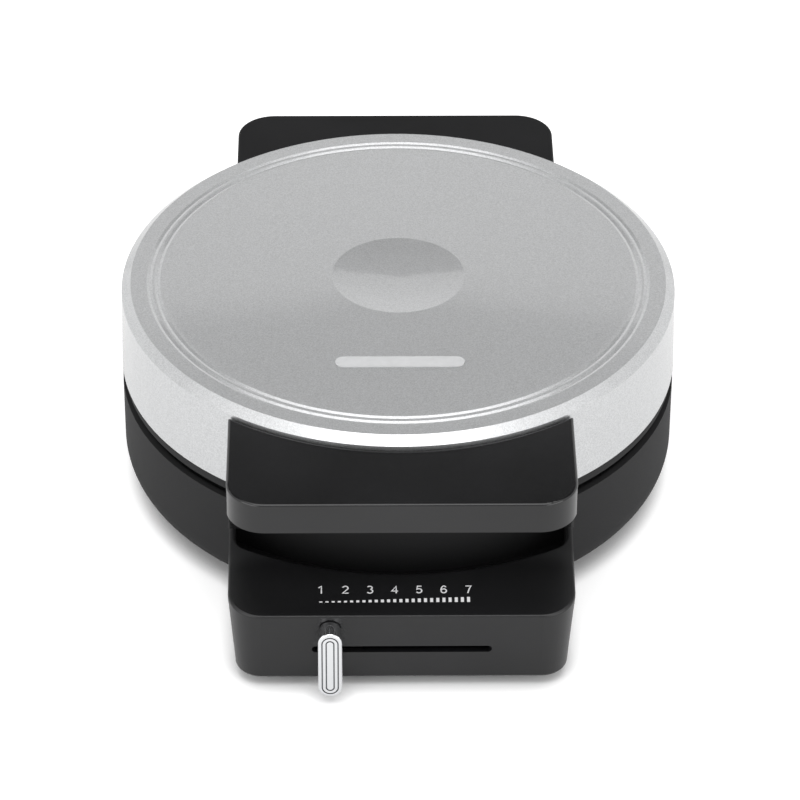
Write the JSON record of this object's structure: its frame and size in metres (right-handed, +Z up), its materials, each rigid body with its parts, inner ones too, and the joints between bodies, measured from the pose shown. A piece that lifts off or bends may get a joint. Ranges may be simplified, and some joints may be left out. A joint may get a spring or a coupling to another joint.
{
  "type": "heart waffle maker",
  "caption": "Round heart waffle maker with silver lid, black base, front handle, a slider for browning and floating rear hinge.",
  "frame": {"origin": "on the surface the feet stand on, under the middle of the whole box", "axes": "+X to the right seen from the handle, +Y towards the hinge, +Z up"},
  "size_m": [0.2186, 0.285, 0.0888],
  "materials": {
    "black_shell": "satin moulded",
    "satin_silver": "satin silver lacquer",
    "baking_plate": "black non-stick coating",
    "chrome": "bright plated",
    "rubber": "matt",
    "steel": "zinc plated",
    "aluminised_sheet": "rolled sheet",
    "element_sheath": "heat-tinted",
    "pale_plastic": "moulded",
    "lead_sleeve": "silicone sleeve",
    "black_gland": "moulded",
    "milky_window": "translucent",
    "red_lens": "clear red",
    "green_lens": "clear green"
  },
  "bodies": {
    "base": {"base_shell": "black_shell", "base_cover": "black_shell", "rubber_feet": "rubber", "base_cover_screws": "steel", "lower_plate": "baking_plate", "lower_plate_screws": "steel", "lower_element": "element_sheath", "lower_element_clips": "steel", "lower_heat_shield": "aluminised_sheet", "lower_shield_screws": "steel", "thermostat_body": "pale_plastic", "thermostat_bracket": "steel", "thermal_fuse": "pale_plastic", "terminal_block": "pale_plastic", "base_leads": "lead_sleeve", "cord_gland": "black_gland", "guide_rod": "steel", "hinge_bracket": "steel", "hinge_bracket_screws": "steel"},
    "slider": {"slider_knob": "chrome", "slider_carriage": "black_shell"},
    "thermostat": {"thermostat_spindle": "steel", "fork_lever": "steel"},
    "hinge_pin": {"hinge_pin": "steel", "hinge_pin_clips": "steel"},
    "lid": {"lid_cover": "satin_silver", "lid_frame": "black_shell", "lid_handle": "black_shell", "handle_underside": "black_shell", "handle_screws": "steel", "handle_fixing_screws": "steel", "lid_hinge_block": "black_shell", "hinge_block_screws": "steel", "upper_plate": "baking_plate", "upper_plate_screws": "steel", "upper_element": "element_sheath", "upper_element_clips": "steel", "upper_heat_shield": "aluminised_sheet", "upper_shield_screws": "steel", "indicator_window": "milky_window", "lamp_holder": "pale_plastic", "red_lamp": "red_lens", "green_lamp": "green_lens", "lid_leads": "lead_sleeve"}
  },
  "joints": [
    {"name": "hinge_float", "type": "slide", "parent": "base", "child": "hinge_pin", "axis": [0, 0, 1], "range_m": [0, 0.004]},
    {"name": "lid_hinge", "type": "hinge", "parent": "hinge_pin", "child": "lid", "pos_m": [0, 0.13404, 0.045], "axis": [-1, 0, 0], "range_deg": [0, 100]},
    {"name": "slider_travel", "type": "slide", "parent": "base", "child": "slider", "axis": [1, 0, 0], "range_m": [-0.0021, 0.0557]},
    {"name": "thermostat_turn", "type": "hinge", "parent": "base", "child": "thermostat", "pos_m": [0, -0.05996, 0.011], "axis": [0, 0, 1], "range_deg": [-2.1, 54.2]}
  ],
  "couplings": [
    {"joint": "thermostat_turn", "follows": "slider_travel", "rad_per_m": 16.93}
  ]
}
